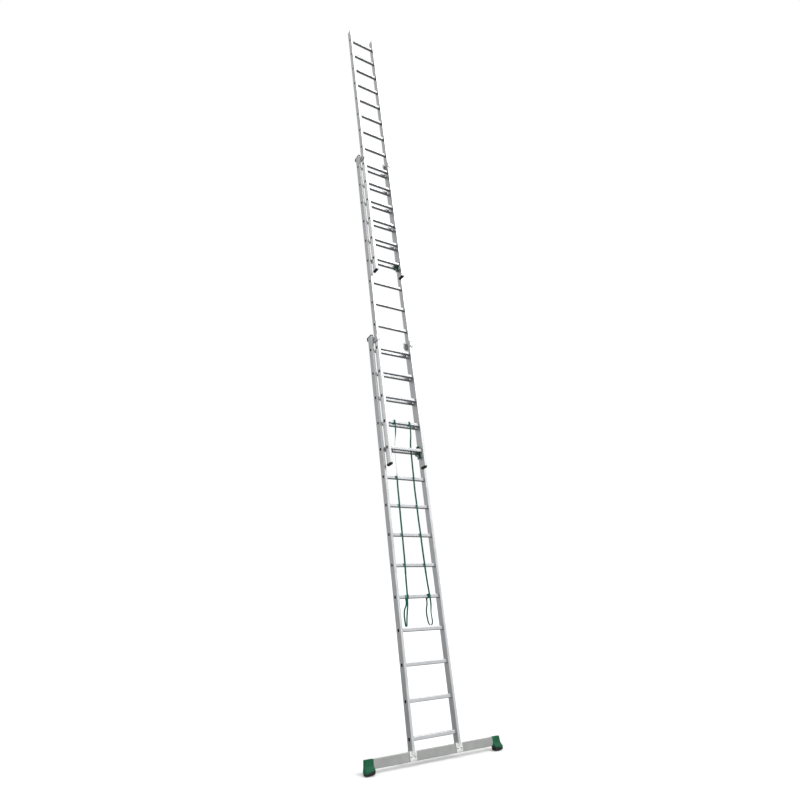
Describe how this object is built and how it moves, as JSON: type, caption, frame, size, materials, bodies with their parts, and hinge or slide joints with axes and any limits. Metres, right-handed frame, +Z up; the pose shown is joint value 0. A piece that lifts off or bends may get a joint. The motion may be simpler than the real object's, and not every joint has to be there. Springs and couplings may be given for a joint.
{
  "type": "extension ladder",
  "caption": "Tall leaning aluminium extension ladder: sliding ribbed-rung sections, wide stabiliser bar with green feet, rung hooks, guides and slack green straps.",
  "frame": {"origin": "on the floor, midway between the two feet of the stabiliser bar, in the plane through the middle of the base stiles continued down to the floor", "axes": "+Z up; +X to the climber's right, along the rungs; +Y the way the ladder leans, away from the climber"},
  "size_m": [1.364, 1.7555, 8.6058],
  "materials": {
    "stile_aluminium": "extruded, satin",
    "rung_aluminium": "extruded, ribbed, satin",
    "bar_aluminium": "extruded, lightly brushed",
    "pressed_aluminium": "pressed, satin",
    "latch_aluminium": "cast, dull",
    "rivet_aluminium": "satin",
    "zinc_steel": "zinc plated",
    "green_plastic": "moulded, matt",
    "black_plastic": "moulded, matt",
    "grey_plastic": "moulded, slightly waxy",
    "black_rubber": "matt",
    "green_strap": "woven webbing"
  },
  "bodies": {
    "base_section": {"bar_saddle_left": "bar_aluminium", "bar_saddle_right": "bar_aluminium", "base_guide_left": "pressed_aluminium", "base_guide_pad_left": "grey_plastic", "base_guide_pad_right": "grey_plastic", "base_guide_right": "pressed_aluminium", "base_guide_rivets": "rivet_aluminium", "base_rungs": "rung_aluminium", "base_stile_left": "stile_aluminium", "base_stile_right": "stile_aluminium", "base_top_cap_left": "black_plastic", "base_top_cap_right": "black_plastic", "foot_left": "green_plastic", "foot_right": "green_plastic", "foot_sole_left": "black_rubber", "foot_sole_right": "black_rubber", "lower_strap_loops": "green_strap", "saddle_bolts": "zinc_steel", "saddle_nuts": "zinc_steel", "spigot_rivets": "rivet_aluminium", "stabiliser_bar": "bar_aluminium"},
    "mid_section": {"mid_foot_cap_left": "black_plastic", "mid_foot_cap_right": "black_plastic", "mid_guide_left": "pressed_aluminium", "mid_guide_pad_left": "grey_plastic", "mid_guide_pad_right": "grey_plastic", "mid_guide_right": "pressed_aluminium", "mid_guide_rivets": "rivet_aluminium", "mid_hook_plate_left": "pressed_aluminium", "mid_hook_plate_right": "pressed_aluminium", "mid_hook_rivets": "rivet_aluminium", "mid_latch_pins": "zinc_steel", "mid_rung_hook_left": "green_plastic", "mid_rung_hook_right": "green_plastic", "mid_rungs": "rung_aluminium", "mid_stile_left": "stile_aluminium", "mid_stile_right": "stile_aluminium", "mid_top_cap_left": "black_plastic", "mid_top_cap_right": "black_plastic", "strap_left": "green_strap", "strap_right": "green_strap", "upper_strap_loops": "green_strap"},
    "top_section": {"top_end_plug_left": "black_plastic", "top_end_plug_right": "black_plastic", "top_foot_cap_left": "black_plastic", "top_foot_cap_right": "black_plastic", "top_hook_plate_left": "pressed_aluminium", "top_hook_plate_right": "pressed_aluminium", "top_hook_rivets": "rivet_aluminium", "top_latch_pins": "zinc_steel", "top_rung_hook_left": "green_plastic", "top_rung_hook_right": "green_plastic", "top_rungs": "rung_aluminium", "top_stile_left": "stile_aluminium", "top_stile_right": "stile_aluminium"},
    "mid_latch_left": {"mid_latch_left": "latch_aluminium"},
    "mid_latch_right": {"mid_latch_right": "latch_aluminium"},
    "top_latch_left": {"top_latch_left": "latch_aluminium"},
    "top_latch_right": {"top_latch_right": "latch_aluminium"}
  },
  "joints": [
    {"name": "mid_slide", "type": "slide", "parent": "base_section", "child": "mid_section", "axis": [0, 0.2079, 0.9781], "range_m": [-2.52, 0], "deforming": ["strap_left", "strap_right"]},
    {"name": "top_slide", "type": "slide", "parent": "mid_section", "child": "top_section", "axis": [0, 0.2079, 0.9781], "range_m": [-2.24, 0]},
    {"name": "mid_latch_left_hinge", "type": "hinge", "parent": "mid_section", "child": "mid_latch_left", "pos_m": [-0.16625, 0.52095, 2.62403], "axis": [1, 0, 0], "range_deg": [-60, 0], "stiffness_Nm_per_rad": 0.06, "springref_deg": 20.05},
    {"name": "mid_latch_right_hinge", "type": "hinge", "parent": "mid_section", "child": "mid_latch_right", "pos_m": [0.16625, 0.52095, 2.62403], "axis": [1, 0, 0], "range_deg": [-60, 0], "stiffness_Nm_per_rad": 0.06, "springref_deg": 20.05},
    {"name": "top_latch_left_hinge", "type": "hinge", "parent": "top_section", "child": "top_latch_left", "pos_m": [-0.13325, 0.91625, 4.83005], "axis": [1, 0, 0], "range_deg": [-60, 0], "stiffness_Nm_per_rad": 0.06, "springref_deg": 20.05},
    {"name": "top_latch_right_hinge", "type": "hinge", "parent": "top_section", "child": "top_latch_right", "pos_m": [0.13325, 0.91625, 4.83005], "axis": [1, 0, 0], "range_deg": [-60, 0], "stiffness_Nm_per_rad": 0.06, "springref_deg": 20.05}
  ]
}
